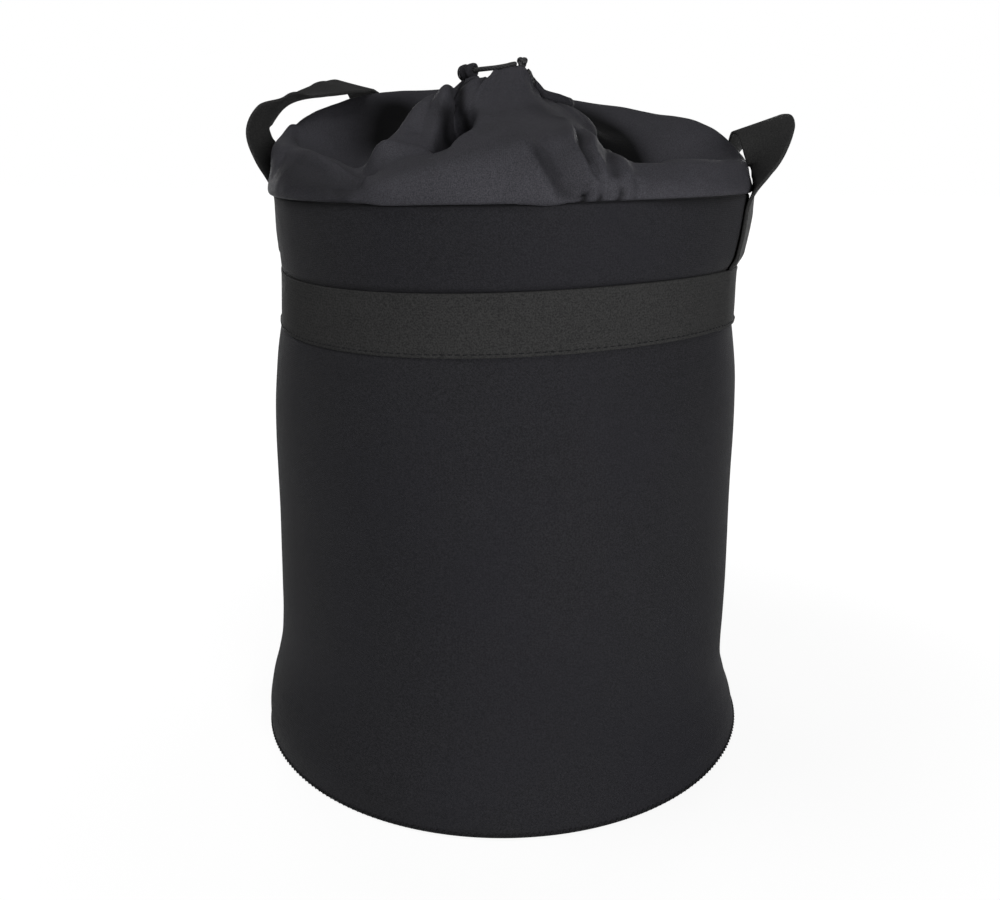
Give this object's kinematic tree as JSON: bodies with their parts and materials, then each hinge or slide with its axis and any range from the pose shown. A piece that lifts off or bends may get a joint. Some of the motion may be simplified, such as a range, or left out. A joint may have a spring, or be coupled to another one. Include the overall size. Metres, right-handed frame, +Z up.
{
  "type": "drawstring lens pouch",
  "caption": "Round padded neoprene pouch with a sewn base, webbing waist band, webbing side loops and a gathered nylon collar that a drawstring closes.",
  "frame": {"origin": "middle of the base's underside, on the surface that the pouch stands on", "axes": "+Z up along the tube, -Y towards the plain front, +X towards the right side loop, which lies 14 degrees behind the side"},
  "size_m": [0.2551, 0.2328, 0.3193],
  "materials": {
    "neoprene": "matte jersey face of laminated neoprene",
    "webbing": "flat ribbed webbing",
    "nylon": "smooth plain weave with a soft sheen",
    "thread": "twisted sewing thread",
    "tape": "knitted binding tape",
    "cord": "braided cord"
  },
  "bodies": {
    "pouch": {"wall_panel": "neoprene", "base_disc": "neoprene", "base_edge_seam": "thread", "back_seam_tape": "tape", "rim_binding": "tape", "waist_band": "webbing", "waist_band_lap": "webbing", "right_handle_front_end": "webbing", "right_handle_rear_end": "webbing", "left_handle_front_end": "webbing", "left_handle_rear_end": "webbing", "collar": "nylon"},
    "right_loop": {"right_handle_loop": "webbing"},
    "left_loop": {"left_handle_loop": "webbing"},
    "mouth": {"drawstring_channel": "nylon", "drawstring": "cord", "drawstring_knot": "cord"}
  },
  "joints": [
    {"name": "right_loop_swing", "type": "hinge", "parent": "pouch", "child": "right_loop", "pos_m": [0.10615, 0.02647, 0.2229], "axis": [-0.2419, 0.9703, 0], "range_deg": [0, 135]},
    {"name": "left_loop_swing", "type": "hinge", "parent": "pouch", "child": "left_loop", "pos_m": [-0.10615, 0.02647, 0.2229], "axis": [-0.2419, -0.9703, 0], "range_deg": [0, 135]},
    {"name": "mouth_lift", "type": "slide", "parent": "pouch", "child": "mouth", "axis": [0, 0, 1], "range_m": [-0.018, 0.024], "deforming": ["collar"]}
  ]
}
